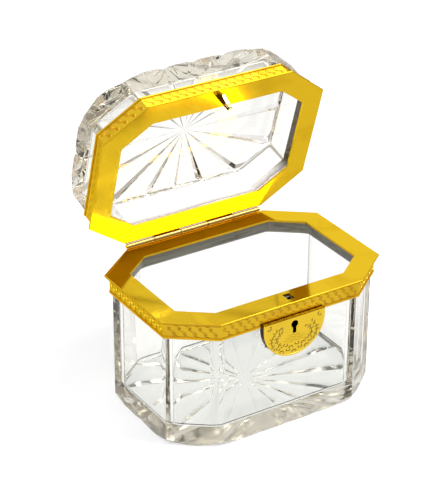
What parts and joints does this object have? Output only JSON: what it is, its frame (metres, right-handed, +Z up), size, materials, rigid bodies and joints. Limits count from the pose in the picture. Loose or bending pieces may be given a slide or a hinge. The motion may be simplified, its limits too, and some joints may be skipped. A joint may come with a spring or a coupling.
{
  "type": "glass casket box",
  "caption": "Oblong cut glass casket with canted corners, engraved gilt frames, a barrel hinge along the back, a half-round lock plate and a star cut into lid and underside.",
  "frame": {"origin": "centre of the underside of the glass base, on the plane it rests on", "axes": "+Z up, +X to the right along the long front, +Y from the front with the lock to the back with the hinge"},
  "size_m": [0.14, 0.1279, 0.179],
  "materials": {
    "cut_glass": "clear, hand polished, cut",
    "gilt_metal": "gilt, polished plates and engraved bands",
    "plaster": "matt bedding, seen through the glass",
    "lock_brass": "dark, unpolished inside and on the edges",
    "lock_steel": "filed, slightly oily"
  },
  "bodies": {
    "base": {"base_glass": "cut_glass", "base_bedding": "plaster", "base_rim_plate": "gilt_metal", "base_band": "gilt_metal", "base_hinge_leaf": "gilt_metal", "hinge_pin": "gilt_metal", "escutcheon": "gilt_metal", "lock_case": "lock_brass", "lock_back_plate": "lock_brass", "lock_rivets": "lock_brass", "bolt_guides": "lock_steel", "bolt_spring": "lock_steel", "key_pin": "lock_steel", "key_ward": "lock_steel"},
    "lid": {"lid_hinge_leaf": "gilt_metal", "lid_rim_plate": "gilt_metal", "lid_band": "gilt_metal", "lid_bedding": "plaster", "lid_glass": "cut_glass", "staple": "gilt_metal"},
    "bolt": {"lock_bolt": "lock_steel"}
  },
  "joints": [
    {"name": "lid_hinge", "type": "hinge", "parent": "base", "child": "lid", "pos_m": [0, 0.05095, 0.07805], "axis": [-1, 0, 0], "range_deg": [-72.9, 32.1]},
    {"name": "bolt_slide", "type": "slide", "parent": "base", "child": "bolt", "axis": [-1, 0, 0], "range_m": [0, 0.0032]}
  ]
}
